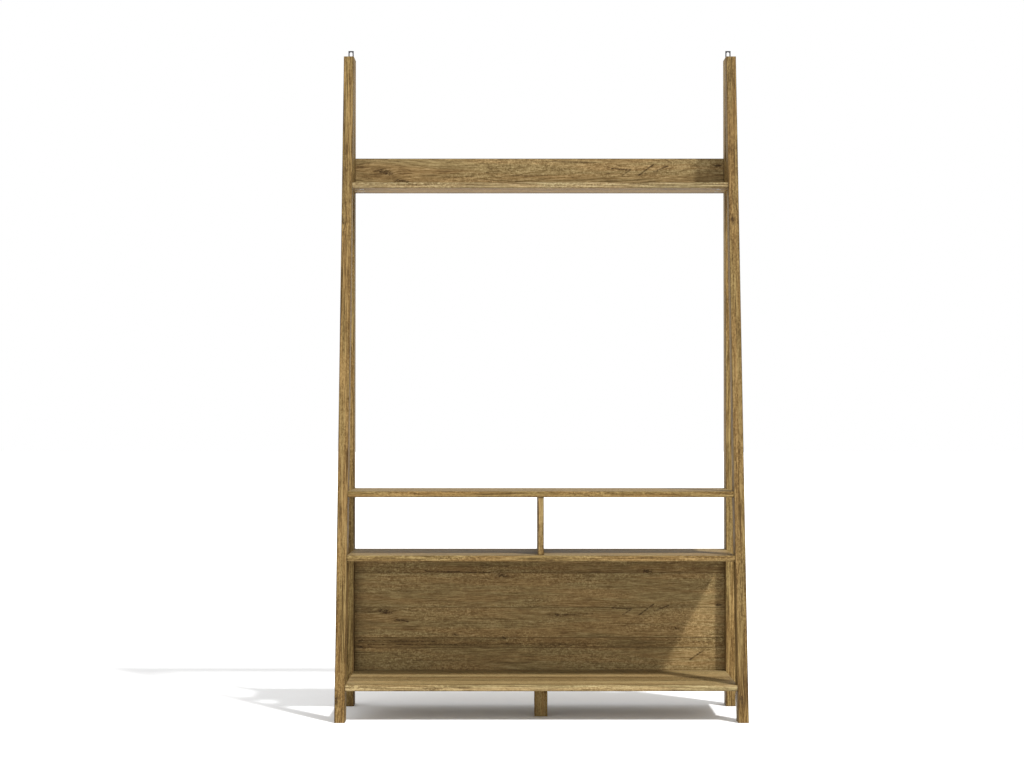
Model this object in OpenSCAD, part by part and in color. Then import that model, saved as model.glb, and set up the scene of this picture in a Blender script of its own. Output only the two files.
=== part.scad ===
// Ladder shelf for a television: four legs, four shelves, an upstand, a divider,
// a back panel, a centre foot and two steel wall brackets, held by hidden fittings.
// Origin: the floor, at the centre of the whole object's width and depth.
// +X is to the right, +Y towards the wall and +Z up. All sizes are in millimetres.

/* [Frame] */
// Width over the outer faces of the legs
frame_w = 1110; // [900:1:1400]
// Height of the legs
frame_h = 1840; // [1500:1:2300]
// Depth on the floor, from the front toes to the rear faces of the rear legs
frame_d = 358; // [290:1:440]
// Thickness of a leg, across the frame
leg_t = 28; // [23:0.1:36]
// Depth of a leg, square to its length
leg_d = 48; // [40:0.1:58]
// Length over which a front leg lies against its rear leg at the top
apex_l = 124; // [103:1:180]

/* [Boards] */
// Thickness of the shelves, the upstand, the divider and the back panel
board_t = 16; // [13.3:0.1:20]
// Free height under the bottom shelf
floor_gap = 83; // [60:1:120]
// Free height of the lower compartment
lower_h = 328; // [260:1:400]
// Free height of the two compartments below the television shelf
media_h = 157; // [125:1:200]
// Drop from the top of the legs to the top face of the top shelf
top_drop = 364; // [300:1:440]
// Height of the upstand behind the top shelf
upstand_h = 82; // [65:1:110]
// How far a shelf's front edge stands behind the front faces of the legs
shelf_setback = 1; // [0:0.1:5]
// How far the divider stands behind the television shelf's front edge
divider_setback = 2; // [0:0.1:20]
// How far the back panel stands in from the rear faces of the legs
panel_inset = 4; // [2:0.1:12]

/* [Centre foot] */
// Side of the square foot
foot_w = 36; // [30:0.1:44]
// Distance from the front toes to the middle of the foot
foot_setback = 138; // [100:1:190]

/* [Wall brackets] */
// Width of a bracket
bracket_w = 15; // [13:0.1:18]
// Thickness of a bracket
bracket_t = 2; // [1.5:0.1:3]
// Length of a bracket
bracket_l = 75; // [66:1:90]
// How far a bracket stands above the legs
bracket_rise = 29.5; // [24:0.5:33]
// Width of the slot for the wall screw
slot_w = 8.4; // [6.5:0.1:10]
// Height of the slot, end to end
slot_l = 20; // [15:0.1:22]
// Steel above the slot
slot_edge = 3.4; // [2.5:0.1:5]
// Distance of a bracket's lower screw from its lower end
bracket_screw_end = 9; // [7:0.1:12]
// Distance between a bracket's two screws
bracket_screw_pitch = 22; // [18:0.1:26]

/* [Fittings] */
// Gap all round a fitting in its hole
fit_gap = 0.05; // [0.02:0.01:0.15]
// Distance between the bolt and the dowel at a shelf's end
fixing_pitch = 24; // [20:0.1:28]
// Diameter of a cam lock's pocket
cam_d = 15; // [12.5:0.1:18]
// Distance of a cam lock from the end of its board
cam_inset = 24; // [20:0.1:34]
// Board left behind a cam lock's pocket
cam_skin = 3; // [1.5:0.1:4]
// How far a cam lock lies below the face of its board
cam_recess = 0.3; // [0.1:0.1:0.5]
// Diameter of the bore for a cam bolt in a board's end
bolt_bore_d = 8; // [7.4:0.1:9]
// Diameter of a cam bolt's thread
bolt_thread_d = 6.3; // [5:0.1:7]
// Length of a cam bolt's thread in the leg
bolt_thread_l = 11; // [9:0.1:13]
// Diameter of a dowel
dowel_d = 8; // [6.7:0.1:9.6]
// Length of a dowel
dowel_l = 30; // [25:0.1:36]
// Depth of a dowel in the leg or across a board
dowel_seat = 10; // [8:0.1:11]
// Diameter of a confirmat screw
confirmat_d = 7; // [5.8:0.1:8.4]
// Diameter of a confirmat screw's head
confirmat_head_d = 10; // [9:0.1:12]
// Length of the confirmat screws through the rear legs
apex_screw_l = 68; // [62:0.1:72]
// Height of the lower apex screw above the lower end of the legs' contact
apex_screw_end = 20; // [16:1:24]
// Distance between the two apex screws of a side
apex_screw_pitch = 32; // [28:1:36]
// Distance of the upper apex dowel below the top of the legs
apex_dowel_end = 24; // [18:1:28]
// Length of the confirmat screws under the divider
divider_screw_l = 50; // [42:0.1:60]
// Distance of the divider's end fixings from its front and rear edges
divider_end = 48; // [40:1:60]
// Distance of the back panel's cam bolts from its lower and upper edges
panel_bolt_end = 48; // [40:1:60]
// Diameter of a bracket screw
bracket_screw_d = 3.5; // [3:0.1:4.5]
// Diameter of a bracket screw's head
bracket_screw_head_d = 7; // [6:0.1:8]
// Length of a bracket screw
bracket_screw_l = 25; // [20:0.1:30]
// Diameter of the centre foot's hanger bolt
hanger_d = 8; // [6.7:0.1:9.6]
// Length of the hanger bolt
hanger_l = 52; // [44:0.1:62]
// Outer diameter of the threaded insert
insert_d = 12; // [11:0.1:14]
// Height of the threaded insert
insert_h = 12; // [10:0.1:13]
// Distance between the hanger bolt and the dowel of the centre foot
foot_fixing_pitch = 16; // [14:0.1:18]

/* [Hidden] */
$fn = 48;
eps = 1;                                  // how far a cut runs past a face
bite = 0.01;                              // overlap where two solids of one piece are joined

// Frame: where the rear faces and the front toes stand
overall_d = frame_d + bracket_t;
rear_y = overall_d / 2 - bracket_t;
toe_y = -overall_d / 2;
half_w = frame_w / 2;
inner_x = half_w - leg_t;                 // inner faces of the legs
inner_w = 2 * inner_x;
rear_front_y = rear_y - leg_d;            // front faces of the rear legs
rear_mid_y = rear_y - leg_d / 2;

// The front leg leans back so that its rear face reaches the rear leg at meet_z
meet_z = frame_h - apex_l;
run_y = frame_d - leg_d;
lean = acos(leg_d / norm([run_y, meet_z])) - atan2(meet_z, run_y);
front_leg_run = leg_d / cos(lean);        // front leg's depth, level
function leg_front_y(z) = toe_y + z * tan(lean);
function front_mid_y(z) = leg_front_y(z) + front_leg_run / 2;

// Shelves: heights of their top faces
bottom_z = floor_gap + board_t;
middle_z = bottom_z + lower_h + board_t;
tv_z = middle_z + media_h + board_t;
top_z = frame_h - top_drop;
shelf_tops = [bottom_z, middle_z, tv_z, top_z];
function shelf_front_y(z) = leg_front_y(z) + shelf_setback;
function mid_z(z) = z - board_t / 2;      // middle of a shelf whose top face is at z

// Upstand, back panel and divider
upstand_mid_y = rear_y - board_t / 2;
upstand_mid_z = top_z + upstand_h / 2;
panel_mid_y = rear_y - panel_inset - board_t / 2;
panel_bolt_zs = [bottom_z + panel_bolt_end, bottom_z + lower_h - panel_bolt_end];
edge_dowel_xs = [-inner_w / 3, 0, inner_w / 3];
divider_front_y = shelf_front_y(tv_z) + divider_setback;
divider_fixing_ys = [divider_front_y + divider_end, rear_y - divider_end];
divider_mid_y = (divider_front_y + rear_y) / 2;

// Apex: fixings on the contact between the legs; the lower dowel is midway between the screws
apex_screw_zs = [for (i = [0, 1]) meet_z + apex_screw_end + i * apex_screw_pitch];
apex_dowel_zs = [meet_z + apex_screw_end + apex_screw_pitch / 2, frame_h - apex_dowel_end];
leg_mid_x = half_w - leg_t / 2;

// Centre foot: its middle, and its two fixings
foot_y = toe_y + foot_setback;
hanger_y = foot_y - foot_fixing_pitch / 2;
foot_dowel_y = foot_y + foot_fixing_pitch / 2;
foot_dowel_l = 2 * dowel_seat;
insert_play = 2;                          // room above the hanger bolt in its insert
hanger_in_insert = insert_h - insert_play;

// Wall brackets: heights of the slot's two arc centres and of the two screws
bracket_top = frame_h + bracket_rise;
bracket_bottom = bracket_top - bracket_l;
slot_high_z = bracket_top - slot_edge - slot_w / 2;
slot_low_z = slot_high_z - (slot_l - slot_w);
bracket_screw_zs = [for (i = [0, 1]) bracket_bottom + bracket_screw_end + i * bracket_screw_pitch];

// Fittings
cam_pocket_h = board_t - cam_skin;
cam_h = cam_pocket_h - cam_recess;
bolt_collar_d = 7;
bolt_collar_l = 1.5;
bolt_neck_d = 4.4;
bolt_head_d = 6.2;
bolt_head_l = 4;
cam_play = 0.8;                           // room round the bolt inside a cam lock
recess_w = 1.2;                           // cam lock's cross recess
recess_l = 7;
recess_h = 2.5;
dowel_play = 1;                           // room for glue at each end of a dowel
dowel_chamfer = 1;
confirmat_head_h = 3;
hex_d = 4.6;                              // confirmat screw's socket, across its corners
hex_h = 2.5;
bracket_head_h = 1.8;
cross_l = 3.6;                            // bracket screw's cross recess
cross_w = 0.8;
cross_h = 1;
sides = [-1, 1];

oak_leg = "#9c8049";
oak_board = "#a08752";
oak_panel = "#7d673f";
oak_upstand = "#917a4c";
steel_dark = "#4a4a4c";
zinc = "#b4b6b8";
beech = "#d9bf92";

// A block between two corners. Its outline holds the corners themselves, so that two
// blocks that share a face share it exactly.
module block(low, high) {
    translate([low.x, 0, 0]) rotate([90, 0, 90]) linear_extrude(high.x - low.x) polygon([
        [low.y, low.z], [high.y, low.z], [high.y, high.z], [low.y, high.z]
    ]);
}

// ---- Places where the fittings go ----

// Puts its children at the end of a board, once for each side: the joint between
// board and leg is the plane x = 0, and +X runs into the leg.
module at_board_ends(y, z) {
    for (s = sides) mirror([s < 0 ? 1 : 0, 0, 0]) translate([inner_x, y, z]) children();
}

// Bolts of a shelf whose top face is at z: one in a front leg, one in a rear leg
module at_shelf_bolts(z) {
    at_board_ends(front_mid_y(mid_z(z)) + fixing_pitch / 2, mid_z(z)) children();
    at_board_ends(rear_mid_y - fixing_pitch / 2, mid_z(z)) children();
}

module at_shelf_dowels(z) {
    at_board_ends(front_mid_y(mid_z(z)) - fixing_pitch / 2, mid_z(z)) children();
    at_board_ends(rear_mid_y + fixing_pitch / 2, mid_z(z)) children();
}

module at_upstand_bolts() {
    at_board_ends(upstand_mid_y, upstand_mid_z) children();
}

module at_panel_bolts() {
    for (z = panel_bolt_zs) at_board_ends(panel_mid_y, z) children();
}

// Dowels that stand on the joint between two boards: the joint is z = 0
module at_edge_dowels(y, z) {
    for (x = edge_dowel_xs) translate([x, y, z]) children();
}

// Fixings that run along Y through the joint of the two legs of a side:
// the joint is z = 0 and +Z runs towards the front
module at_apex(zs) {
    for (s = sides, z = zs) translate([s * leg_mid_x, rear_front_y, z]) rotate([90, 0, 0]) children();
}

module at_bracket_screws() {
    for (s = sides, z = bracket_screw_zs)
        translate([s * leg_mid_x, rear_y + bracket_t, z]) rotate([90, 0, 0]) children();
}

// ---- Holes ----

// Along X, from the joint plane: depth_in runs into the leg and depth_out into the board
module hole_x(d, depth_in, depth_out = eps) {
    translate([-depth_out, 0, 0]) rotate([0, 90, 0]) cylinder(d = d, h = depth_in + depth_out);
}

// Along Z, from the joint plane: up into one board and down into the other
module hole_z(d, up, down) {
    translate([0, 0, -down]) cylinder(d = d, h = up + down);
}

module bolt_thread_hole() {
    hole_x(bolt_thread_d + 2 * fit_gap, bolt_thread_l + dowel_play);
}

module bolt_board_bore() {
    hole_x(bolt_bore_d, eps, cam_inset);
}

module dowel_hole_leg() {
    hole_x(dowel_d + 2 * fit_gap, dowel_seat + dowel_play);
}

module dowel_hole_board() {
    hole_x(dowel_d + 2 * fit_gap, eps, dowel_l - dowel_seat + dowel_play);
}

// Pocket for a cam lock, from the face of the board at -Z: z = 0 is the board's middle
module cam_pocket() {
    translate([-cam_inset, 0, -board_t / 2 - eps]) cylinder(d = cam_d, h = cam_pocket_h + eps);
}

// ---- Fittings, each along +X from the joint plane unless it says otherwise ----

module cam_bolt() {
    hole_x(bolt_thread_d, bolt_thread_l, bite);
    hole_x(bolt_collar_d, 0, bolt_collar_l);
    hole_x(bolt_neck_d, 0, cam_inset);
    translate([-cam_inset, 0, 0]) rotate([0, 90, 0])
        cylinder(d = bolt_head_d, h = bolt_head_l, center = true);
}

// A drum with a chamber for the bolt's head, a slot in which the neck travels as the
// drum is turned, an entry for the head and a cross recess for the screwdriver
module cam_lock() {
    translate([-cam_inset, 0, 0]) difference() {
        translate([0, 0, cam_recess - board_t / 2]) cylinder(d = cam_d - 2 * fit_gap, h = cam_h);
        rotate([0, 90, 0]) cylinder(d = bolt_head_d + cam_play, h = bolt_head_l + cam_play, center = true);
        rotate([0, 90, 0]) cylinder(d = bolt_neck_d + cam_play, h = cam_d);
        rotate([-90, 0, 0]) cylinder(d = bolt_head_d + cam_play, h = cam_d);
        translate([0, 0, -(bolt_neck_d + cam_play) / 2]) cube([cam_d, cam_d, bolt_neck_d + cam_play]);
        for (a = [0, 90]) rotate([0, 0, a + 45])
            translate([-recess_l / 2, -recess_w / 2, -board_t / 2 - eps])
                cube([recess_l, recess_w, cam_recess + recess_h + eps]);
    }
}

// A dowel along Z: seat deep above the joint plane z = 0, the rest of length l below it
module dowel(l = dowel_l, seat = dowel_seat) {
    r = dowel_d / 2;
    rotate_extrude() polygon([
        [0, seat - l], [r - dowel_chamfer, seat - l], [r, seat - l + dowel_chamfer],
        [r, seat - dowel_chamfer], [r - dowel_chamfer, seat], [0, seat]
    ]);
}

module end_dowel() {
    rotate([0, 90, 0]) dowel();
}

// A confirmat screw along +Z with its head's flat end at z = 0
module confirmat(l) {
    difference() {
        union() {
            cylinder(d1 = confirmat_head_d, d2 = confirmat_d, h = confirmat_head_h);
            translate([0, 0, confirmat_head_h - bite]) cylinder(d = confirmat_d, h = l - confirmat_head_h);
        }
        translate([0, 0, -eps]) cylinder(d = hex_d, h = hex_h + eps, $fn = 6);
    }
}

module confirmat_hole(l) {
    gap = 2 * fit_gap;
    cylinder(d1 = confirmat_head_d + gap, d2 = confirmat_d + gap, h = confirmat_head_h);
    translate([0, 0, -eps]) cylinder(d = confirmat_head_d + gap, h = eps + bite);
    translate([0, 0, confirmat_head_h - bite])
        cylinder(d = confirmat_d + gap, h = l - confirmat_head_h + eps);
}

// A countersunk screw along +Z with its head's flat end at z = 0
module bracket_screw() {
    difference() {
        union() {
            cylinder(d1 = bracket_screw_head_d, d2 = bracket_screw_d, h = bracket_head_h);
            translate([0, 0, bracket_head_h - bite])
                cylinder(d = bracket_screw_d, h = bracket_screw_l - bracket_head_h);
        }
        for (a = [0, 90]) rotate([0, 0, a])
            translate([-cross_l / 2, -cross_w / 2, -eps]) cube([cross_l, cross_w, cross_h + eps]);
    }
}

module bracket_screw_hole() {
    gap = 2 * fit_gap;
    cylinder(d1 = bracket_screw_head_d + gap, d2 = bracket_screw_d + gap, h = bracket_head_h);
    translate([0, 0, -eps]) cylinder(d = bracket_screw_head_d + gap, h = eps + bite);
    translate([0, 0, bracket_head_h - bite])
        cylinder(d = bracket_screw_d + gap, h = bracket_screw_l - bracket_head_h + eps);
}

// ---- Legs ----

module front_leg_blank(side) {
    translate([side * leg_mid_x - leg_t / 2, 0, 0]) rotate([90, 0, 90]) linear_extrude(leg_t) polygon([
        [toe_y, 0], [toe_y + front_leg_run, 0], [rear_front_y, meet_z],
        [rear_front_y, frame_h], [leg_front_y(frame_h), frame_h]
    ]);
}

module front_leg(side) {
    color(oak_leg) difference() {
        front_leg_blank(side);
        for (z = shelf_tops) {
            at_shelf_bolts(z) bolt_thread_hole();
            at_shelf_dowels(z) dowel_hole_leg();
        }
        at_apex(apex_screw_zs) translate([0, 0, -leg_d]) confirmat_hole(apex_screw_l);
        at_apex(apex_dowel_zs) hole_z(dowel_d + 2 * fit_gap, dowel_l / 2 + dowel_play, eps);
    }
}

module rear_leg(side) {
    color(oak_leg) difference() {
        block([side * leg_mid_x - leg_t / 2, rear_front_y, 0],
            [side * leg_mid_x + leg_t / 2, rear_y, frame_h]);
        for (z = shelf_tops) {
            at_shelf_bolts(z) bolt_thread_hole();
            at_shelf_dowels(z) dowel_hole_leg();
        }
        at_upstand_bolts() bolt_thread_hole();
        at_panel_bolts() bolt_thread_hole();
        at_apex(apex_screw_zs) translate([0, 0, -leg_d]) confirmat_hole(apex_screw_l);
        at_apex(apex_dowel_zs) hole_z(dowel_d + 2 * fit_gap, eps, dowel_l / 2 + dowel_play);
        at_bracket_screws() bracket_screw_hole();
    }
}

module left_front_leg() { front_leg(-1); }
module right_front_leg() { front_leg(1); }
module left_rear_leg() { rear_leg(-1); }
module right_rear_leg() { rear_leg(1); }

// ---- Shelves ----

module shelf_blank(z) {
    block([-inner_x, shelf_front_y(z), z - board_t], [inner_x, rear_y, z]);
}

// A shelf whose top face is at z, with its end fixings; the cam locks go in from below
module shelf(z) {
    difference() {
        shelf_blank(z);
        at_shelf_bolts(z) {
            bolt_board_bore();
            cam_pocket();
        }
        at_shelf_dowels(z) dowel_hole_board();
        children();
    }
}

// Blind dowel holes in the face of a board, above or below the plane z
module edge_dowel_seats(y, z, up) {
    at_edge_dowels(y, z)
        hole_z(dowel_d + 2 * fit_gap, up ? dowel_seat + dowel_play : eps, up ? eps : dowel_seat + dowel_play);
}

module top_shelf() {
    color(oak_board) shelf(top_z) edge_dowel_seats(upstand_mid_y, top_z, false);
}

module tv_shelf() {
    color(oak_board) shelf(tv_z)
        for (y = divider_fixing_ys) translate([0, y, tv_z - board_t])
            hole_z(dowel_d + 2 * fit_gap, dowel_seat + dowel_play, eps);
}

module middle_shelf() {
    color(oak_board) shelf(middle_z) {
        for (y = divider_fixing_ys) translate([0, y, middle_z - board_t]) confirmat_hole(divider_screw_l);
        translate([0, divider_mid_y, middle_z]) hole_z(dowel_d + 2 * fit_gap, eps, dowel_seat + dowel_play);
        edge_dowel_seats(panel_mid_y, middle_z - board_t, true);
    }
}

module bottom_shelf() {
    color(oak_board) shelf(bottom_z) {
        edge_dowel_seats(panel_mid_y, bottom_z, false);
        translate([0, hanger_y, floor_gap]) hole_z(insert_d + 2 * fit_gap, insert_h + fit_gap, eps);
        translate([0, foot_dowel_y, floor_gap]) hole_z(dowel_d + 2 * fit_gap, dowel_seat + dowel_play, eps);
    }
}

// ---- Upstand, divider, back panel and centre foot ----

module top_shelf_upstand() {
    color(oak_upstand) difference() {
        block([-inner_x, rear_y - board_t, top_z], [inner_x, rear_y, top_z + upstand_h]);
        at_upstand_bolts() {
            bolt_board_bore();
            rotate([90, 0, 0]) cam_pocket();
        }
        at_edge_dowels(upstand_mid_y, top_z)
            hole_z(dowel_d + 2 * fit_gap, dowel_l - dowel_seat + dowel_play, eps);
    }
}

module divider() {
    color(oak_board) difference() {
        block([-board_t / 2, divider_front_y, middle_z], [board_t / 2, rear_y, middle_z + media_h]);
        for (y = divider_fixing_ys) {
            translate([0, y, middle_z + media_h])
                hole_z(dowel_d + 2 * fit_gap, eps, dowel_l - dowel_seat + dowel_play);
            translate([0, y, middle_z - board_t]) confirmat_hole(divider_screw_l);
        }
        translate([0, divider_mid_y, middle_z])
            hole_z(dowel_d + 2 * fit_gap, dowel_l - dowel_seat + dowel_play, eps);
    }
}

module back_panel() {
    color(oak_panel) difference() {
        block([-inner_x, panel_mid_y - board_t / 2, bottom_z],
            [inner_x, panel_mid_y + board_t / 2, bottom_z + lower_h]);
        at_panel_bolts() {
            bolt_board_bore();
            rotate([90, 0, 0]) cam_pocket();
        }
        at_edge_dowels(panel_mid_y, bottom_z)
            hole_z(dowel_d + 2 * fit_gap, dowel_l - dowel_seat + dowel_play, eps);
        at_edge_dowels(panel_mid_y, bottom_z + lower_h)
            hole_z(dowel_d + 2 * fit_gap, eps, dowel_l - dowel_seat + dowel_play);
    }
}

module centre_foot() {
    color(oak_leg) difference() {
        block([-foot_w / 2, foot_y - foot_w / 2, 0], [foot_w / 2, foot_y + foot_w / 2, floor_gap]);
        translate([0, hanger_y, floor_gap])
            hole_z(hanger_d + 2 * fit_gap, eps, hanger_l - hanger_in_insert + dowel_play);
        translate([0, foot_dowel_y, floor_gap]) hole_z(dowel_d + 2 * fit_gap, eps, dowel_seat + dowel_play);
    }
}

// ---- Wall brackets ----

module wall_bracket(side) {
    color(steel_dark) difference() {
        block([side * leg_mid_x - bracket_w / 2, rear_y, bracket_bottom],
            [side * leg_mid_x + bracket_w / 2, rear_y + bracket_t, bracket_top]);
        translate([side * leg_mid_x, rear_y - eps, slot_low_z]) {
            for (up = [0, slot_l - slot_w])
                translate([0, 0, up]) rotate([-90, 0, 0]) cylinder(d = slot_w, h = bracket_t + 2 * eps);
            translate([-slot_w / 2, 0, 0]) cube([slot_w, bracket_t + 2 * eps, slot_l - slot_w]);
        }
        at_bracket_screws() bracket_screw_hole();
    }
}

module left_wall_bracket() { wall_bracket(-1); }
module right_wall_bracket() { wall_bracket(1); }
module bracket_screws() { color(zinc) at_bracket_screws() bracket_screw(); }

// ---- Fittings of each board ----

module shelf_cam_bolts(z) { color(zinc) at_shelf_bolts(z) cam_bolt(); }
module shelf_cam_locks(z) { color(zinc) at_shelf_bolts(z) cam_lock(); }
module shelf_dowels(z) { color(beech) at_shelf_dowels(z) end_dowel(); }

module upstand_cam_bolts() { color(zinc) at_upstand_bolts() cam_bolt(); }
module upstand_cam_locks() { color(zinc) at_upstand_bolts() rotate([90, 0, 0]) cam_lock(); }
module upstand_dowels() { color(beech) at_edge_dowels(upstand_mid_y, top_z) mirror([0, 0, 1]) dowel(); }

module back_panel_cam_bolts() { color(zinc) at_panel_bolts() cam_bolt(); }
module back_panel_cam_locks() { color(zinc) at_panel_bolts() rotate([90, 0, 0]) cam_lock(); }

module back_panel_dowels() {
    color(beech) {
        at_edge_dowels(panel_mid_y, bottom_z) mirror([0, 0, 1]) dowel();
        at_edge_dowels(panel_mid_y, bottom_z + lower_h) dowel();
    }
}

module divider_screws() {
    color(zinc) for (y = divider_fixing_ys) translate([0, y, middle_z - board_t]) confirmat(divider_screw_l);
}

module divider_dowels() {
    color(beech) {
        for (y = divider_fixing_ys) translate([0, y, middle_z + media_h]) dowel();
        translate([0, divider_mid_y, middle_z]) mirror([0, 0, 1]) dowel();
    }
}

module apex_screws() { color(zinc) at_apex(apex_screw_zs) translate([0, 0, -leg_d]) confirmat(apex_screw_l); }
module apex_dowels() { color(beech) at_apex(apex_dowel_zs) dowel(dowel_l, dowel_l / 2); }

module foot_hanger_bolt() {
    color(zinc) translate([0, hanger_y, floor_gap])
        hole_z(hanger_d, hanger_in_insert, hanger_l - hanger_in_insert);
}

module foot_insert() {
    color(zinc) translate([0, hanger_y, floor_gap]) difference() {
        cylinder(d = insert_d, h = insert_h);
        translate([0, 0, -eps]) cylinder(d = hanger_d + 2 * fit_gap, h = insert_h + 2 * eps);
    }
}

module foot_dowel() {
    color(beech) translate([0, foot_dowel_y, floor_gap]) dowel(foot_dowel_l, dowel_seat);
}

left_front_leg();
right_front_leg();
left_rear_leg();
right_rear_leg();
top_shelf();
top_shelf_upstand();
tv_shelf();
divider();
middle_shelf();
back_panel();
bottom_shelf();
centre_foot();
left_wall_bracket();
right_wall_bracket();
bracket_screws();
shelf_cam_bolts(top_z);  // top_shelf_cam_bolts
shelf_cam_locks(top_z);  // top_shelf_cam_locks
shelf_dowels(top_z);  // top_shelf_dowels
shelf_cam_bolts(tv_z);  // tv_shelf_cam_bolts
shelf_cam_locks(tv_z);  // tv_shelf_cam_locks
shelf_dowels(tv_z);  // tv_shelf_dowels
shelf_cam_bolts(middle_z);  // middle_shelf_cam_bolts
shelf_cam_locks(middle_z);  // middle_shelf_cam_locks
shelf_dowels(middle_z);  // middle_shelf_dowels
shelf_cam_bolts(bottom_z);  // bottom_shelf_cam_bolts
shelf_cam_locks(bottom_z);  // bottom_shelf_cam_locks
shelf_dowels(bottom_z);  // bottom_shelf_dowels
upstand_cam_bolts();
upstand_cam_locks();
upstand_dowels();
back_panel_cam_bolts();
back_panel_cam_locks();
back_panel_dowels();
divider_screws();
divider_dowels();
apex_screws();
apex_dowels();
foot_hanger_bolt();
foot_insert();
foot_dowel();
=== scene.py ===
# %% [markdown]
# # A ladder shelf in foil-faced oak board
#
# The packed model gives the boards, legs, brackets and fittings at their real size.
# This lesson gives them their looks: oak foil with planks, knots and cracks, eased
# edges, dark steel, zinc and beech. Nothing that the model fixes is moved or resized,
# so the first step is to load the model.

import functools
import math

import bmesh
import bpy
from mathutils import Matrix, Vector


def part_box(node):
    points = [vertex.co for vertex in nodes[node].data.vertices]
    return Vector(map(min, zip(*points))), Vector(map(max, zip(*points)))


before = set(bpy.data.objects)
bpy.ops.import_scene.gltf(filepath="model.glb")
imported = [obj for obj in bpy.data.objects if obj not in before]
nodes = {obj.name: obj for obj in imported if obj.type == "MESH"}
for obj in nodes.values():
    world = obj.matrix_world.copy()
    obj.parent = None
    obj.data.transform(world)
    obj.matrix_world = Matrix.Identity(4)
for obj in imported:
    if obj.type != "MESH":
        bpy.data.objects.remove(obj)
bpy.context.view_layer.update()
print("pieces from the frame:", len(nodes))

# %% [markdown]
# ## The camera
#
# A tall unit is looked at square on, from a little under half its height. The camera
# stands over five metres away, so that the leaning legs are hardly foreshortened, and a
# 70 mm lens fills the picture from there. The lens could be shifted upward instead, but
# a pitch of under one degree does the same job, and the uprights still look parallel.

# %% Camera
EYE = (-0.079, -5.514, 0.822)
PITCH = math.radians(0.92)
LENS_MM = 69.9
SENSOR_MM = 36

camera = bpy.data.objects.new("camera", bpy.data.cameras.new("camera"))
camera.data.lens = LENS_MM
camera.data.sensor_width = SENSOR_MM
camera.location = EYE
camera.rotation_euler = (math.pi / 2 + PITCH, 0, 0)
bpy.context.scene.collection.objects.link(camera)
bpy.context.scene.camera = camera

# %% [markdown]
# ## Lamps
#
# A showroom lights furniture with one strong lamp and softens the shaded side. The key
# lamp stands high at the front right, and a broad weak fill shines in low from the
# left. Area lamps would do too, but a sun lamp keeps one angle over the whole unit, and
# its width alone sets how soft the shadows' edges are.

# %% Lamps
def sun(name, azimuth, height, energy, width):
    """A distant lamp in this direction and this wide, with its angles in degrees."""
    azimuth, height = math.radians(azimuth), math.radians(height)
    towards = Vector((
        math.sin(azimuth) * math.cos(height),
        -math.cos(azimuth) * math.cos(height),
        math.sin(height),
    ))
    lamp = bpy.data.objects.new(name, bpy.data.lights.new(name, "SUN"))
    lamp.data.energy = energy
    lamp.data.angle = math.radians(width)
    lamp.rotation_euler = towards.to_track_quat("Z", "Y").to_euler()
    bpy.context.scene.collection.objects.link(lamp)
    print(name, "lamp is towards", [round(part, 2) for part in towards])


sun("key", azimuth=44.5, height=52.5, energy=4.3, width=5)
sun("fill", azimuth=-60, height=8, energy=0.8, width=60)

# %% [markdown]
# ## The room
#
# White walls all round throw light into every shaded corner. They could be built and
# lit, but a white world gives the same light with nothing to build. The standard view
# shows the wood in its own colours, without a film's curve.

# %% Room
WHITE = (1, 1, 1, 1)

room = bpy.data.worlds.new("room")
room.use_nodes = True
walls = room.node_tree.nodes["Background"]
walls.inputs["Color"].default_value = WHITE
walls.inputs["Strength"].default_value = 1.0
bpy.context.scene.world = room
bpy.context.scene.view_settings.view_transform = "Standard"
print("room is lit at strength", walls.inputs["Strength"].default_value)

# %% [markdown]
# ## Shader sums as Python
#
# A printed foil is arithmetic on a position: distances, bands and masks. Its nodes
# could be placed and linked one by one, but a formula is easier to read than a hundred
# nodes. So `Wire` holds one output of a node, and its operators add Math nodes. Any
# other node comes from `Wire.add`, which makes its settings before it feeds its sockets.

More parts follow.
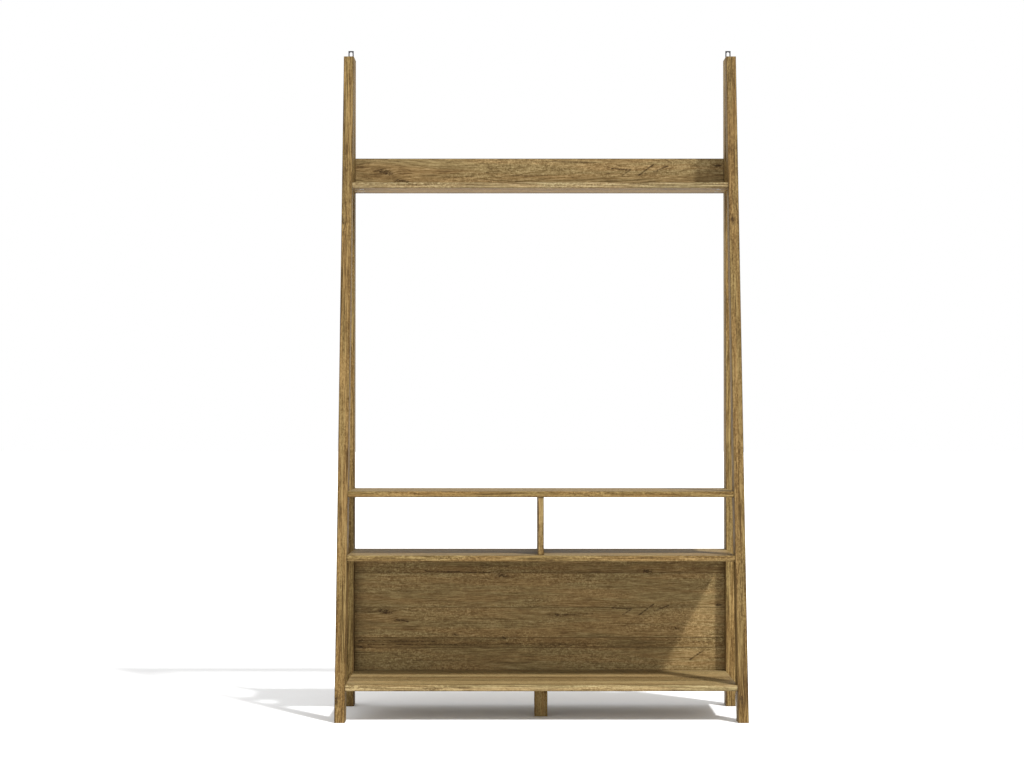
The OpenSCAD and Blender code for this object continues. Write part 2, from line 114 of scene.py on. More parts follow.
# %% Wire
class Wire:
    """One output of a shader node, in the material that is being wired."""

    tree = None

    def __init__(self, socket):
        self.socket = socket

    @classmethod
    def add(cls, kind, settings=None, sockets=None, out=0):
        """One output of a new node, whose sockets take wires or constants."""
        node = cls.tree.nodes.new(kind)
        for name, value in (settings or {}).items():
            if name == "stops":
                cls.set_stops(node.color_ramp, value)
            else:
                setattr(node, name, value)
        for name, value in (sockets or {}).items():
            cls.join(value, node.inputs[name])
        return cls(node.outputs[out])

    @staticmethod
    def set_stops(ramp, stops):
        """Gives a colour ramp these places and colours."""
        while len(ramp.elements) < len(stops):
            ramp.elements.new(1.0)
        for element, (place, colour) in zip(ramp.elements, stops):
            element.position = place
            element.color = (*colour, 1)

    @classmethod
    def join(cls, value, socket):
        """Links a wire to the socket, or sets a constant on it."""
        if isinstance(value, Wire):
            cls.tree.links.new(value.socket, socket)
        else:
            socket.default_value = value

    @classmethod
    def maths(cls, operation, *values, clamp=False):
        """A Math node on wires and numbers, in the order that they are given."""
        settings = {"operation": operation, "use_clamp": clamp}
        return cls.add("ShaderNodeMath", settings, dict(enumerate(values)))

    def __add__(self, other):
        return self.maths("ADD", self, other)

    def __sub__(self, other):
        return self.maths("SUBTRACT", self, other)

    def __rsub__(self, other):
        return self.maths("SUBTRACT", other, self)

    def __mul__(self, other):
        return self.maths("MULTIPLY", self, other)

    def __pow__(self, other):
        return self.maths("POWER", self, other)

    def __rpow__(self, other):
        return self.maths("POWER", other, self)

    def __gt__(self, other):
        return self.maths("GREATER_THAN", self, other)

    def __lt__(self, other):
        return self.maths("LESS_THAN", self, other)

    __radd__ = __add__
    __rmul__ = __mul__

    def least(self, other):
        return self.maths("MINIMUM", self, other)

    def most(self, other):
        return self.maths("MAXIMUM", self, other)

    def away(self):
        """How far the wire is from nought, on either side."""
        return self.maths("ABSOLUTE", self)

    def fade(self, start, end):
        """0 at start and 1 at end, smooth in between."""
        sockets = {"Value": self, "From Min": start, "From Max": end}
        return self.add("ShaderNodeMapRange", {"interpolation_type": "SMOOTHSTEP"}, sockets)


print("a wire can:", ", ".join(name for name in vars(Wire) if "_" not in name))

# %% [markdown]
# ## Paint for the floor
#
# A plain white floor takes the shadows and throws light back up under the shelves. It
# could be a curved backdrop, but one flat square reaches so far that its end is lost in
# the white room. Its paint is the simplest finish here: two constants on the shader's
# own sockets, which `feed` sets. Given a wire, `feed` links it instead.

# %% Floor
FLOOR_REACH = 40.0
FLOOR_WHITE = (0.80, 0.80, 0.80, 1)


def new_finish(name):
    """An empty material with its Principled shader, which is being wired from now on."""
    material = bpy.data.materials.new(name)
    material.use_nodes = True
    Wire.tree = material.node_tree
    return material, material.node_tree.nodes["Principled BSDF"]


def feed(shader, **sockets):
    """Feeds the shader's sockets, whose names have _ in place of a space."""
    for name, value in sockets.items():
        Wire.join(value, shader.inputs[name.replace("_", " ")])


floor_mesh = bpy.data.meshes.new("floor")
drawing = bmesh.new()
bmesh.ops.create_grid(drawing, x_segments=1, y_segments=1, size=FLOOR_REACH)
drawing.to_mesh(floor_mesh)
drawing.free()
floor = bpy.data.objects.new("floor", floor_mesh)
bpy.context.scene.collection.objects.link(floor)
floor_paint, floor_shader = new_finish("floor")
feed(floor_shader, Base_Color=FLOOR_WHITE, Roughness=0.8)
floor_mesh.materials.append(floor_paint)
print("floor is", 2 * FLOOR_REACH, "m wide, with", len(floor_mesh.polygons), "face")

# %% [markdown]
# ## Noise, mixing and relief
#
# Every finish below needs the same three things: an uneven pattern, a mix of two
# colours, and a relief that catches the light. The Mix node keeps a set of sockets for
# each kind of data, so its colour sockets are named here once.

# %% Noise, mixing and relief
MIDDLE = 0.5
MIX_SHARE, MIX_BELOW, MIX_ABOVE, MIX_RESULT = 0, 6, 7, 2


def noise(place, detail=2.0, roughness=0.5, scale=1.0):
    """An uneven pattern from 0 to 1, which is mostly near its middle."""
    sockets = {"Vector": place, "Scale": scale, "Detail": detail, "Roughness": roughness}
    return Wire.add("ShaderNodeTexNoise", None, sockets)


def mix(share, below, above, kind="MIX"):
    """This share of the colour above, laid on the colour below."""
    settings = {"data_type": "RGBA", "blend_type": kind}
    sockets = {MIX_SHARE: share, MIX_BELOW: below, MIX_ABOVE: above}
    return Wire.add("ShaderNodeMix", settings, sockets, out=MIX_RESULT)


def relief(height, strength, distance):
    """The normal of a surface whose relief is this high, in metres, for a height of 1."""
    sockets = {"Strength": strength, "Distance": distance, "Height": height}
    return Wire.add("ShaderNodeBump", None, sockets, out="Normal")


print("noise swings round", MIDDLE)

# %% [markdown]
# ## Metal
#
# The wall brackets are pressed steel with a dark satin coating, the cam locks are bare
# zinc castings, and the bolts and screws are bright plated steel. Each could be one flat
# colour, but a fine speckle in colour, gloss and relief keeps it from looking moulded.

# %% Metal
METAL_GRAIN = 400.0
METAL_RELIEF = {"strength": 0.4, "distance": 0.00005}
SHADED, LIT = 0.8, 1.2
GLOSS_CHANGE = 0.2


def metal(name, colour, roughness, metallic):
    """A speckled metal of this colour."""
    material, shader = new_finish(name)
    place = Wire.add("ShaderNodeTexCoord", out="Object")
    speckle = noise(place, detail=3.0, scale=METAL_GRAIN)
    shaded = (*[part * SHADED for part in colour], 1)
    lit = (*[part * LIT for part in colour], 1)
    feed(shader, Base_Color=mix(speckle, shaded, lit), Metallic=metallic,
         Roughness=roughness + (speckle - MIDDLE) * GLOSS_CHANGE,
         Normal=relief(speckle, **METAL_RELIEF))
    print(name, "has", len(Wire.tree.nodes), "shader nodes")
    return material


coated_steel = metal("coated steel", (0.030, 0.030, 0.033), roughness=0.42, metallic=0.3)
cast_zinc = metal("cast zinc", (0.30, 0.29, 0.27), roughness=0.55, metallic=0.8)
plated_steel = metal("plated steel", (0.58, 0.59, 0.60), roughness=0.28, metallic=1.0)

# %% [markdown]
# ## Beech
#
# Dowels are turned from beech, a pale and even wood with tiny flakes. They sit inside
# the boards, so a fine pattern of two browns is enough, without a grain of its own.

# %% Beech
BEECH_GRAIN = 260.0
BEECH_DARK = (0.42, 0.27, 0.14, 1)
BEECH_PALE = (0.62, 0.45, 0.27, 1)


def flaked_beech():
    """Pale wood with tiny flakes."""
    material, shader = new_finish("beech")
    place = Wire.add("ShaderNodeTexCoord", out="Object")
    flakes = noise(place, detail=4.0, scale=BEECH_GRAIN)
    feed(shader, Base_Color=mix(flakes, BEECH_DARK, BEECH_PALE), Roughness=0.6)
    return material


beech = flaked_beech()
print("beech goes from", BEECH_DARK[:3], "to", BEECH_PALE[:3])

# %% [markdown]
# ## Finishes for the fittings
#
# Each bracket, lock, bolt, screw and dowel is named for what it is. So its finish could
# be given piece by piece, but a table of words does it for all of them at once. A
# fitting keeps the model's own mesh, and only its material changes.

# %% Finishes for the fittings
FINISH_BY_WORD = {
    "wall_bracket": coated_steel,
    "cam_locks": cast_zinc,
    "dowel": beech,
    "screws": plated_steel,
    "bolt": plated_steel,
    "insert": plated_steel,
}


def give(node, material):
    """Makes this the only material of a piece."""
    mesh = nodes[node].data
    mesh.materials.clear()
    mesh.materials.append(material)


for word, material in FINISH_BY_WORD.items():
    fittings = [node for node in nodes if word in node]
    for node in fittings:
        give(node, material)
    print(material.name, "on the pieces named", word + ":", len(fittings))

# %% [markdown]
# ## Where the grain runs
#
# A board is cut along the tree, so everything in its print is long in one direction.
# The pattern is worked out in metres along the grain (u), across it (v) and through
# the board (w), measured from the board's own middle. It could be unwrapped like
# paper, but this way needs no unwrapping and stays at its real scale on every face.

# %% Grain space
def vector_maths(operation, *inputs, out=0):
    """A Vector Math node on wires and vectors, in the order that they are given."""
    return Wire.add("ShaderNodeVectorMath", {"operation": operation}, dict(enumerate(inputs)), out)


def grain_space(origin, along, across):
    """The distances along the grain, across it and through the board."""
    place = Wire.add("ShaderNodeTexCoord", out="Object")
    from_origin = vector_maths("SUBTRACT", place, tuple(origin))
    through = Vector(along).cross(Vector(across))
    axes = (Vector(along), Vector(across), through)
    return [vector_maths("DOT_PRODUCT", from_origin, tuple(axis), out="Value") for axis in axes]


X, Y, Z = (1, 0, 0), (0, 1, 0), (0, 0, 1)
print("a shelf's u, v and w are", [tuple(axis) for axis in (X, Y, Vector(X).cross(Vector(Y)))])

# %% [markdown]
# ## Noise in grain space
#
# Wood's patterns differ mostly in how far they are drawn out along the tree. So a noise
# is given by how often it changes in a metre along the grain and across it. A flat one
# takes a slice of the noise in place of the depth, where only the face of a board counts.

# %% Noise in grain space
def point(x, y, z):
    return Wire.add("ShaderNodeCombineXYZ", None, {0: x, 1: y, 2: z})


def grain_noise(u, v, w, along, across, **looks):
    """A noise that changes this often in a metre, through the whole board."""
    return noise(point(u * along, v * across, w * across), **looks)


def flat_noise(u, v, along, across, own_slice, **looks):
    """A noise that changes this often in a metre, the same all through the board."""
    return noise(point(u * along, v * across, own_slice), **looks)


print("the metal's speckle changes every", 1000 / METAL_GRAIN, "mm")

# %% [markdown]
# ## Planks
#
# The sheet is printed as planks laid side by side. Each plank takes its figure from
# another part of the pattern, has its own tone, and meets the next in a thin dark seam.
# They could be separate pieces, but a list of edges and changes of tone says it all.

# %% Planks
PLANK_SHIFT_ALONG = 3.7
PLANK_SHIFT_ACROSS = 0.37
SEAM_FADE = (0.0018, 0.0004)


def planks(v, edges):
    """The plank's number, its tone and the seams, for edges given across the board."""
    number, tone, seams = 0.0, 0.0, []
    for edge, change in edges:
        past = v > edge
        number = past + number
        tone = past * change + tone
        seams.append((v - edge).away().fade(*SEAM_FADE))
    return number, tone, seams


print("a plank's figure lies", PLANK_SHIFT_ALONG, "m along from the last plank's")

# %% [markdown]
# ## Knots
#
# Where a branch left the trunk the fibres flow round a dark core. A knot could be a
# dark spot alone, but then the streaks would run straight through it. So each knot also
# squeezes the distance across the grain near itself, which bends the later streaks. Its
# edge is made ragged, its core is split, and a brown stain spreads about it.

# %% Knots
KNOT_EDGE = {"along": 120, "across": 260, "own_slice": 0.3, "detail": 3}
KNOT_SPLIT = {"along": 170, "across": 480, "own_slice": 1.9}
SPLIT_FADE = (0.40, 0.52)
KNOT_SQUASH, KNOT_SLANT = 0.32, 0.12
KNOT_REACH, KNOT_PULL = 2.2, 0.8
RAGGED = 2.6
STAIN_FROM, STAIN_TO, STAIN_DEPTH = 2.4, 0.4, 0.30
CORE_FROM, CORE_TO, CORE_LEAST = 1.25, 0.6, 0.3


def bend_round_knots(u, v, knots):
    """The bent distance across the grain, and masks of the knots' stains and cores."""
    if not knots:
        return v, []
    ragged = (flat_noise(u, v, **KNOT_EDGE) - MIDDLE) * RAGGED
    split = flat_noise(u, v, **KNOT_SPLIT).fade(*SPLIT_FADE)
    core_depth = split * (1 - CORE_LEAST) + CORE_LEAST
    masks = []
    for along_knot, across_knot, radius in knots:
        du = (u - along_knot) * KNOT_SQUASH
        dv = v - across_knot + (u - along_knot) * KNOT_SLANT
        squared = du * du + dv * dv
        squeeze = math.e ** (squared * (-0.5 / (KNOT_REACH * radius) ** 2))
        v = v - dv * squeeze * KNOT_PULL
        from_knot = squared ** 0.5 + ragged * radius
        masks.append(from_knot.fade(radius * STAIN_FROM, radius * STAIN_TO) * STAIN_DEPTH)
        masks.append(from_knot.fade(radius * CORE_FROM, radius * CORE_TO) * core_depth)
    return v, masks


print("a knot is", round(1 / KNOT_SQUASH, 1), "times as long as it is wide")

# %% [markdown]
# ## Cracks
#
# Dried oak splits in short dark strokes. They could be modelled as grooves, but foil
# only shows them in print. So each is the distance to a line from one end to the other,
# faded over a millimetre or two. The place is shaken a little first, so that the stroke
# wanders, and it is worn away here and there.

# %% Cracks
CRACK_WANDER = {"along": 130, "across": 130, "own_slice": 2.7, "detail": 4, "roughness": 0.7}
CRACK_WEAR = {"along": 110, "across": 300, "own_slice": 5.1}
WEAR_FADE = (0.32, 0.60)
CRACK_SHAKE_ALONG, CRACK_SHAKE_ACROSS = 0.008, 0.007
CRACK_FROM, CRACK_TO, CRACK_LEAST = 1.7, 0.5, 0.2


def crack_masks(u, v, cracks):
    """A mask for each stroke, which is given by its two ends and half its width."""
    if not cracks:
        return []
    wander = flat_noise(u, v, **CRACK_WANDER) - MIDDLE
    worn = flat_noise(u, v, **CRACK_WEAR).fade(*WEAR_FADE) * (1 - CRACK_LEAST) + CRACK_LEAST
    place = point(u + wander * CRACK_SHAKE_ALONG, v + wander * CRACK_SHAKE_ACROSS, 0)
    masks = []
    for start, end, width in cracks:
        first = Vector((*start, 0))
        run = Vector((*end, 0)) - first
        from_first = vector_maths("SUBTRACT", place, tuple(first))
        per_run = tuple(run / run.length_squared)
        share = vector_maths("DOT_PRODUCT", from_first, per_run, out="Value")
        share = Wire.maths("ADD", share, 0.0, clamp=True)
        nearest = point(share * run.x, share * run.y, 0)
        gap = vector_maths("DISTANCE", from_first, nearest, out="Value")
        masks.append(gap.fade(width * CRACK_FROM, width * CRACK_TO) * worn)
    return masks


print("cracks wander by up to", CRACK_SHAKE_ALONG * MIDDLE * 1000, "mm along the grain")

# %% [markdown]
# ## Layers of figure
#
# Oak shows many things at once: broad changes of tone, streaks of fibre, a curly
# mottling in patches, pale flecks where the rays are cut, long dark hairlines, and open
# pores in short dashes. One noise can't show them all, so each has a row in a table: how
# often it changes in a metre along and across the grain, and its fade if it is a mask.

# %% Layers of figure
LAYERS = {
    "broad": {"along": 1.5, "across": 19, "detail": 3},
    "patches": {"along": 4, "across": 16, "fade": (0.38, 0.62)},
    "warmth": {"along": 4, "across": 60, "detail": 4, "fade": (0.38, 0.62)},
    "streak": {"along": 9, "across": 390, "detail": 4, "roughness": 0.62},
    "hairline": {"along": 5, "across": 170, "fade": (0.60, 0.70)},
    "mottle": {"along": 115, "across": 320, "detail": 3, "roughness": 0.66},
    "fleck": {"along": 260, "across": 170, "fade": (0.54, 0.66)},
    "fibre": {"along": 25, "across": 700, "detail": 3, "roughness": 0.6},
    "pore": {"along": 60, "across": 1300, "detail": 1, "fade": (0.60, 0.72)},
}


def figure_layers(u, v, w, streaks):
    """Every layer of the table by its name, with streaks as many times shorter."""
    layers = {}
    for name, row in LAYERS.items():
        looks = dict(row)
        fade = looks.pop("fade", None)
        looks["along"] *= streaks if name == "streak" else 1
        layer = grain_noise(u, v, w, **looks)
        layers[name] = layer.fade(*fade) if fade else layer
    return layers


print("layers in the oak print:", ", ".join(LAYERS))

# %% [markdown]
# ## Growth rings
#
# A saw that runs at a slant to the trunk cuts the rings in long arches. Arches could be
# drawn on each board, but it is simpler to do as the tree does. So the rings are true
# bands round a pith line, which passes under the board at a slant.

# %% Growth rings
RING_WIDTH = 0.0055
RING_RISE, RING_FALL = (0.0, 0.62), (0.86, 1.0)
PITH_SWAY = {"along": 1.7, "across": 7, "detail": 4}
SWAY_BESIDE, SWAY_BELOW = 0.05, 0.06


def growth_rings(u, v, w, pith):
    """Bands round a pith line, given by its depth, its slant and its offset."""
    depth, slant, offset = pith
    sway = grain_noise(u, v, w, **PITH_SWAY) - MIDDLE
    beside = v - offset + sway * SWAY_BESIDE
    below = w + u * slant + depth + sway * SWAY_BELOW
    from_pith = (beside * beside + below * below) ** 0.5
    phase = Wire.maths("FRACT", from_pith * (1 / RING_WIDTH))
    return phase.fade(*RING_RISE) - phase.fade(*RING_FALL)


print("rings are", RING_WIDTH * 1000, "mm apart")

# %% [markdown]
# ## Adding up the figure
#
# A printed foil has no depth, so every layer only makes the oak paler or darker. The
# layers could all count the same everywhere, but a real board passes from one cut to
# another. So in the patches the streaks are stronger, and outside them the curly
# mottling and the flecks are.

# %% Figure
STREAK_LEAST, STREAK_IN_PATCHES = 0.80, 0.90
MOTTLE_MOST, MOTTLE_IN_PATCHES = 1.45, -0.85
FLECK, FIBRE, PORE, HAIRLINE = 0.22, 0.30, -0.14, -0.10
RING_MIDDLE = 0.45


def figure_sum(layers, ring_bands, rings, curl, swing):
    """How much paler than its middle tone the oak is, or darker if below nought."""
    patches = layers["patches"]
    streaks = (layers["streak"] - MIDDLE) * (patches * STREAK_IN_PATCHES + STREAK_LEAST)
    mottle = (layers["mottle"] - MIDDLE) * (patches * MOTTLE_IN_PATCHES + MOTTLE_MOST)
    flecks = (1 - patches) * layers["fleck"] * FLECK
    fine = (layers["fibre"] - MIDDLE) * FIBRE + layers["pore"] * PORE
    fine = fine + layers["hairline"] * HAIRLINE
    broad = (layers["broad"] - MIDDLE) * swing + (ring_bands - RING_MIDDLE) * rings
    return broad + streaks + fine + (mottle + flecks) * curl


print("streaks are", round(1 + STREAK_IN_PATCHES / STREAK_LEAST, 1), "times stronger in patches")

# %% [markdown]
# ## Oak colours
#
# A colour ramp turns the figure into oak, from dark to pale. Two colours would do for a
# plain wood, but oak's dark parts are redder than its pale ones, so the ramp has four
# stops. A warm and a cool cast keep long streaks from being all of one hue.

# %% Oak colours
OAK_STOPS = [
    (0.10, (0.074, 0.047, 0.018)),
    (0.37, (0.138, 0.092, 0.037)),
    (0.60, (0.208, 0.148, 0.064)),
    (0.90, (0.300, 0.226, 0.108)),
]
WARM_CAST = (1.04, 0.98, 0.94, 1)
COOL_CAST = (0.98, 1.01, 1.01, 1)


def tinted(colour, cast):
    """The colour multiplied by a cast."""
    return mix(1.0, colour, cast, kind="MULTIPLY")


def oak_colour(figure, warmth, tone):
    """The colour of a figure, where 0.1 is dark oak and 0.9 is pale oak."""
    stops = [(place, [a * b for a, b in zip(tone, colour)]) for place, colour in OAK_STOPS]
    colour = Wire.add("ShaderNodeValToRGB", {"stops": stops}, {0: figure}, out="Color")
    return mix(warmth, tinted(colour, COOL_CAST), tinted(colour, WARM_CAST))


print("oak goes from", OAK_STOPS[0][1], "to", OAK_STOPS[-1][1])

# %% [markdown]
# ## Edges
#
# Every edge of a board is darkened over its last two millimetres: partly the foil, which
# darkens where it is folded or rubbed, and partly painted shade, as falls in joints and
# along edges. The corners could be painted one by one, but the second smallest of the
# distances to the board's faces is already the distance to its nearest edge. A shelf's
# front has a strip of another cut glued on, a millimetre thick, with a thin glue line
# behind it and painted shade along its bottom edge.

# %% Edges
EDGE_NOISE = {"along": 40, "across": 40, "detail": 3}
EDGE_NOISE_DEPTH = 0.0014
EDGE_FADE = (0.0028, 0.0014)
STRIP = 0.001
STRIP_FADE = 0.0001
GLUE_FADE = (0.00018, 0.00006)
LOWER_EDGE_SHADE_FADE = (0.0032, 0.0014)


def edge_shade_and_wear(u, v, w, half):
    """A mask of the last two millimetres before an edge: painted shade and the foil's rubbed edge.
    """
    du, dv, dw = (size - place.away() for place, size in zip((u, v, w), half))
    to_edge = du.least(dv).most(du.most(dv).least(dw))
    return (to_edge + grain_noise(u, v, w, **EDGE_NOISE) * EDGE_NOISE_DEPTH).fade(*EDGE_FADE)


def strip_masks(v, w, half):
    """Masks of a shelf's front strip, of its glue line and of painted shade at its bottom edge."""
    glue_place = STRIP - half[1]
    strip = v.fade(glue_place + STRIP_FADE, glue_place)
    glue = (v - glue_place).away().fade(*GLUE_FADE)
    # The strip's bottom edge faces down, so it gets painted shade.
    lower = (w + half[2]).fade(*LOWER_EDGE_SHADE_FADE) * strip
    return strip, glue, lower


print("a shelf's front strip is", STRIP * 1000, "mm thick")

# %% [markdown]
# ## The oak print
#
# The board's marks are pores, hairlines, seams, cracks and knots, a shelf strip's glue
# line, and painted shade along the edges. Laid on one after the other they would grow too
# dark where they cross, so only the darkest counts. One function then puts the whole print
# together, so that every board is of the same wood.
# What differs between boards comes in by name: the planks, knots and cracks, the tone,
# and how strong the rings, the curly mottling and the broad changes are.

# %% Oak print
# Every dark mark fades to this brown; the darkening at the edges is painted shade.
MARK_AND_SHADE_BROWN = (0.030, 0.016, 0.006, 1)
DARKNESS = {"pore": 0.22, "hairline": 0.28, "seam": 0.60, "crack": 0.90, "knot": 0.92,
            "glue": 0.50, "lower edge": 0.50}
FIBRE_WANDER = {"along": 2.6, "across": 11, "detail": 3}
WANDER_WIDTH = 0.012
FIGURE_MIDDLE = 0.48
RELIEF = {"fibre": 0.35, "mottle": 0.3, "pore": -1.0}
MARK_DEPTH = -1.2
FOIL_RELIEF = {"strength": 0.3, "distance": 0.0004}
FOIL_ROUGHNESS, PORE_ROUGHNESS, BROAD_ROUGHNESS = 0.58, 0.15, 0.12
FOIL_GLOSS = 0.07


def oak(name, origin, along, across, half, seed, tone, edges=(), knots=(), cracks=(),
        pith=(0.05, 0.05, 0.0), strip_tone=None, rings=0.14, contrast=1.4, curl=1.0,
        swing=0.45, streaks=1, rim=0.45):
    """Oak foil as a material, for a board with this origin, grain and half its sizes."""
    material, shader = new_finish(name)
    u, v, w = grain_space(origin, along, across)
    v_round, knot_masks = bend_round_knots(u, v, knots)
    number, plank_tone, seams = planks(v, edges)
    u_plank = u + number * PLANK_SHIFT_ALONG + seed
    v_plank = v_round + number * PLANK_SHIFT_ACROSS
    wander = grain_noise(u_plank, v_plank, w, **FIBRE_WANDER) - MIDDLE
    v_plank = v_plank + wander * WANDER_WIDTH

    layers = figure_layers(u_plank, v_plank, w, streaks)
    change = figure_sum(layers, growth_rings(u, v_plank, w, pith), rings, curl, swing)
    figure = change * contrast + FIGURE_MIDDLE + plank_tone
    colour = oak_colour(figure, layers["warmth"], tone)
    marks = {"pore": [layers["pore"]], "hairline": [layers["hairline"]], "seam": seams,
             "crack": crack_masks(u, v, cracks), "knot": knot_masks}
    if strip_tone:
        strip, glue, lower = strip_masks(v, w, half)
        colour = mix(strip, colour, tinted(colour, (*strip_tone, 1)))
        # The strip brings its glue line and the painted shade at its bottom edge.
        marks |= {"glue": [glue], "lower edge": [lower]}

    darker = [mask * DARKNESS[mark] for mark, masks in marks.items() for mask in masks]
    # The start is the darkening at every edge: painted shade, with the foil's rubbed edge.
    dark = functools.reduce(Wire.most, darker, edge_shade_and_wear(u, v, w, half) * rim)
    height = sum((layers[layer] * share for layer, share in RELIEF.items()), dark * MARK_DEPTH)
    uneven = layers["pore"] * PORE_ROUGHNESS + (layers["broad"] - MIDDLE) * BROAD_ROUGHNESS
    feed(shader, Base_Color=mix(dark, colour, MARK_AND_SHADE_BROWN), Roughness=uneven + FOIL_ROUGHNESS,
         Normal=relief(height, **FOIL_RELIEF), Specular_IOR_Level=FOIL_GLOSS)
    return material


print("marks in the oak print:", ", ".join(DARKNESS))

# %% [markdown]
# ## Giving a board its print
#
# A board's print is centred on it and ends at its edges, so the print needs the board's
# middle and half its sizes. They could be typed in, but the frame's boxes have them
# already, and so a change of the model carries through to the print.

# %% Board helpers
def middle(node):
    low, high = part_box(node)
    return (low + high) / 2


def half_sizes(node, along, across):
    """Half the board's size along the grain, across it and through the board."""
    low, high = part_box(node)
    through = Vector(along).cross(Vector(across))
    return [abs((high - low).dot(Vector(axis))) / 2 for axis in (along, across, through)]


def oak_board(node, along, across, seed, **looks):
    """Oak foil on a board whose grain space starts at its own middle."""
    half = half_sizes(node, along, across)
    name = "oak " + node.replace("_", " ")
    give(node, oak(name, middle(node), along, across, half, seed, **looks))
    print(name, [round(2 * size, 3) for size in half], "m,", len(Wire.tree.nodes), "shader nodes")


print("middle of the back panel:", [round(part, 3) for part in middle("back_panel")])

# %% [markdown]
# ## Shelves
#
# The shelves' grain runs along them, in planks of uneven width. The top shelf and the
# bottom shelf have a paler front strip. The edges are in metres from the shelf's middle
# line, towards the wall, each with the change of tone behind it. On the middle and the
# bottom shelf some of these changes are painted light and shade as well as print: a
# paler rear on the middle shelf lightens the shadow of the shelf above, and a pale band
# then a darker rear on the bottom shelf mark the edge of the middle shelf's shadow and
# the shade along the back panel. One table keeps the four shelves side by side, so that
# their tones are easy to compare.

# %% Shelves
SHELVES = {
    "top_shelf": {
        "seed": 11.0, "tone": (0.95, 0.85, 0.71), "strip_tone": (1.11, 1.29, 1.73),
        "edges": [(-0.012, 0.14), (0.040, -0.32)],
    },
    "tv_shelf": {
        "seed": 23.0, "tone": (0.84, 0.80, 0.70), "strip_tone": (1.02, 0.98, 0.92),
        "edges": [(-0.030, 0.05), (0.050, -0.08)],
    },
    "middle_shelf": {
        "seed": 37.0, "tone": (0.94, 0.91, 0.85), "strip_tone": (0.96, 0.93, 0.87),
        # The rear plank's paler tone is painted light, lightening the upper shelf's shadow.
        "edges": [(-0.044, -0.14), (-0.004, 0.24)],
    },
    "bottom_shelf": {
        "seed": 41.0, "tone": (0.96, 0.94, 0.91), "strip_tone": (1.26, 1.36, 1.52),
        # Past 0.016 a pale plank, then a darker one past 0.042: painted light and shade at the
        # middle shelf's shadow edge and along the back panel.
        "edges": [(-0.140, 0.18), (-0.080, -0.22), (-0.026, -0.16), (-0.002, 0.26),
                  (0.016, 0.14), (0.042, -0.08)],
    },
}
for node, looks in SHELVES.items():
    oak_board(node, X, Y, pith=(0.05, 0.05, 0.02), rim=0.15, **looks)

# %% [markdown]
# ## Upstand and back panel
#
# Both are cut from the same sheet of print, so they show the same knots and the same
# slanting cracks. The panel is taller and shows more of the sheet, so it adds its own
# to theirs. A knot is given by its place along and across the board and its radius, a
# crack by its two ends and half its width, in metres from the board's middle.

# %% Upstand and back panel
PRINT_SEED = 5.0
PRINT_KNOTS = [(-0.440, 0.002, 0.0075), (-0.400, -0.018, 0.0045), (0.510, 0.021, 0.0030)]
PRINT_CRACKS = [
    ((0.206, 0.0125), (0.260, 0.0085), 0.0016),
    ((0.260, 0.0085), (0.236, -0.0073), 0.0018),
    ((0.283, -0.0073), (0.324, 0.0227), 0.0020),
    ((0.327, 0.0040), (0.368, 0.0200), 0.0018),
    ((0.500, 0.021), (0.522, 0.020), 0.0018),
    ((-0.395, -0.022), (-0.375, -0.026), 0.0020),
]
PANEL_KNOTS = [
    (-0.108, 0.105, 0.0060), (0.307, 0.116, 0.0050), (0.050, -0.0066, 0.0030),
    (0.389, -0.045, 0.0028), (-0.101, -0.073, 0.0028), (-0.241, -0.064, 0.0030),
    (-0.510, -0.0985, 0.0025),
]
PANEL_CRACKS = [
    ((0.0505, -0.0066), (0.150, -0.0040), 0.0012),
    ((0.4275, -0.1347), (0.463, -0.110), 0.0020),
    ((-0.327, 0.117), (-0.142, 0.113), 0.0016),
    ((-0.515, -0.081), (-0.300, -0.083), 0.0013),
    ((-0.490, -0.092), (-0.050, -0.090), 0.0013),
    ((0.000, -0.0935), (0.110, -0.0925), 0.0012),
]
PANEL_EDGES = [(-0.100, -0.11), (-0.0715, 0.13), (0.0143, -0.03), (0.112, -0.10)]

oak_board("top_shelf_upstand", X, Z, PRINT_SEED, knots=PRINT_KNOTS, cracks=PRINT_CRACKS,
          pith=(0.05, 0.05, 0.01), tone=(1.06, 1.05, 1.06), contrast=1.15, swing=0.35,
          streaks=2, rim=0.75)
oak_board("back_panel", X, Z, PRINT_SEED, knots=PRINT_KNOTS + PANEL_KNOTS,
          cracks=PRINT_CRACKS + PANEL_CRACKS, edges=PANEL_EDGES, pith=(0.06, 0.04, 0.05),
          tone=(1.19, 1.18, 1.18), rings=0.06, contrast=0.95, curl=1.2, swing=0.35, streaks=2)

# %% [markdown]
# ## Divider, foot and rear legs
#
# Their grain is upright. The legs are darker than the shelves and more streaked, with
# hardly any rings or curly mottling. They could share one material, but then the same
# marks would show side by side, so each has its own seed, which is how far up the tree
# its print is taken.

# %% Divider, foot and rear legs
oak_board("divider", Z, Y, 61.0, tone=(0.98, 0.92, 0.83), contrast=2.2, curl=0.5, rim=0.8)
oak_board("centre_foot", Z, X, 67.0, tone=(0.80, 0.73, 0.61), contrast=2.2, curl=0.5)

LEG_LOOKS = {"rings": 0.05, "contrast": 2.3, "curl": 0.45, "swing": 0.10, "rim": 0.7}
oak_board("left_rear_leg", Z, X, 71.0, tone=(0.80, 0.73, 0.58), **LEG_LOOKS)
# The right rear leg's paler tone is painted light: it brightens its front face, which lies in
# shade.
oak_board("right_rear_leg", Z, X, 94.0, tone=(1.02, 0.96, 0.81), **LEG_LOOKS)

# %% [markdown]
# ## Front legs
#
# A front leg is sawn from a straight board, so its grain leans with it. The lean could
# be copied from the model's source, but here it is measured on the leg itself. Each has
# a knot near its foot and another near the top shelf. Its lower end is cut level and its
# top is cut to lie on the rear leg, so neither end counts as an edge of the board.

# %% Front legs
MILLIMETRE = 0.001
LEG_TONE = (0.76, 0.69, 0.57)
LEG_PITH = (0.05, 0.045, -0.002)
LOW_KNOT, HIGH_KNOT = (0.057, 0.0040), (1.381, 0.0045)


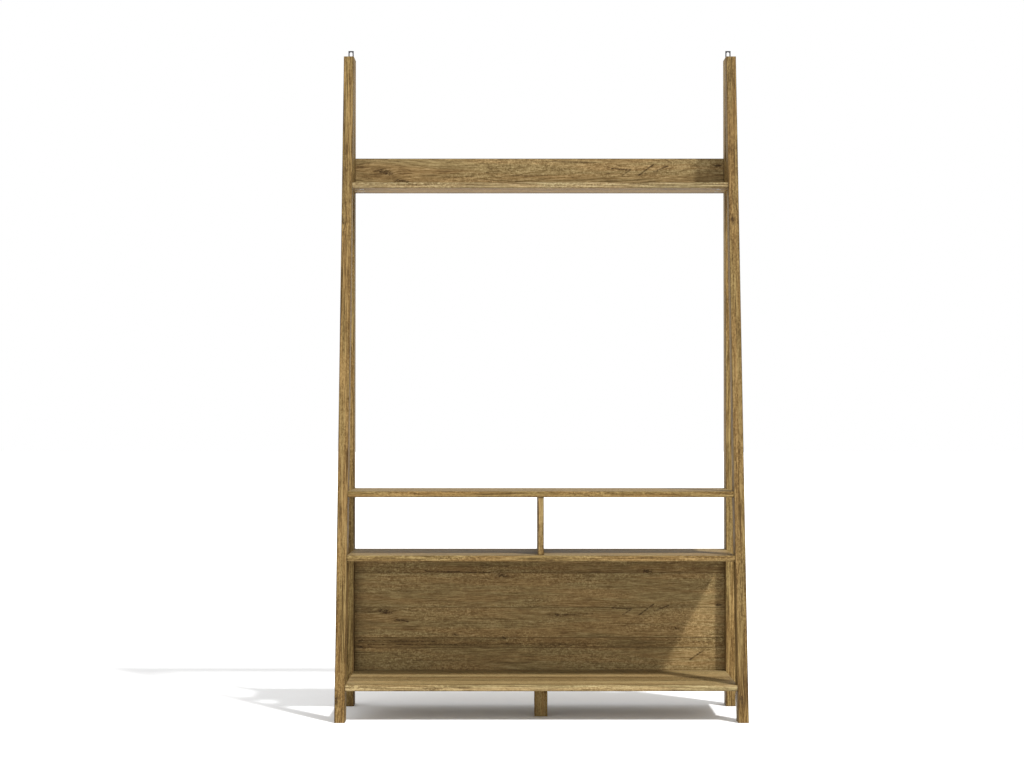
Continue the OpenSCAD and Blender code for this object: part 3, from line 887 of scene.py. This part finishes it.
def front_leg(side, seed, knot_side):
    """Oak foil on a leaning leg, whose grain space starts at the middle of its foot."""
    node = f"{side}_front_leg"
    low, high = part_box(node)
    top_front = min(p.co.y for p in nodes[node].data.vertices if p.co.z > high.z - MILLIMETRE)
    lean = math.atan2(top_front - low.y, high.z - low.z)
    along = (0, math.sin(lean), math.cos(lean))
    _, half_width, half_depth = half_sizes(f"{side}_rear_leg", Z, X)
    half = (2 * high.z, half_width, half_depth)
    foot = Vector((middle(node).x, low.y + half_depth / math.cos(lean), low.z))
    knots = [(up, knot_side, radius) for up, radius in (LOW_KNOT, HIGH_KNOT)]
    name = f"oak {side} front leg"
    give(node, oak(name, foot, along, X, half, seed, LEG_TONE, knots=knots, pith=LEG_PITH,
                   **LEG_LOOKS))
    print(name, "leans", round(math.degrees(lean), 2), "degrees")


front_leg("left", seed=76.0, knot_side=-0.0105)
front_leg("right", seed=99.0, knot_side=-0.0045)

# %% [markdown]
# ## Eased edges
#
# Edging strip is rubbed down after it is glued, so no edge of the furniture is truly
# sharp. The edges could be rounded in the model, but under a millimetre a rounding is
# only for the eye. So a Weld modifier joins the corners that the model's file keeps
# apart, a Bevel rounds the edges, and weighted normals keep the broad faces flat.

# %% Eased edges
WELD_GAP = 0.00001
SHARP_ANGLE = math.radians(40)
BOARD_EASE = 0.0008
BRACKET_EASE = 0.0003


def ease_edges(node, width):
    """Rounds the sharp edges of a piece by this much, in two steps."""
    piece = nodes[node]
    weld = piece.modifiers.new("weld", "WELD")
    weld.merge_threshold = WELD_GAP
    bevel = piece.modifiers.new("eased edges", "BEVEL")
    bevel.width = width
    bevel.segments = 2
    bevel.limit_method = "ANGLE"
    bevel.angle_limit = SHARP_ANGLE
    normals = piece.modifiers.new("flat faces", "WEIGHTED_NORMAL")
    normals.keep_sharp = True


for finish, width in (("oak", BOARD_EASE), ("coated steel", BRACKET_EASE)):
    pieces = [node for node in nodes if nodes[node].data.materials[0].name.startswith(finish)]
    for node in pieces:
        ease_edges(node, width)
    print(finish, "edges eased by", width * 1000, "mm on", len(pieces), "pieces")

# %% [markdown]
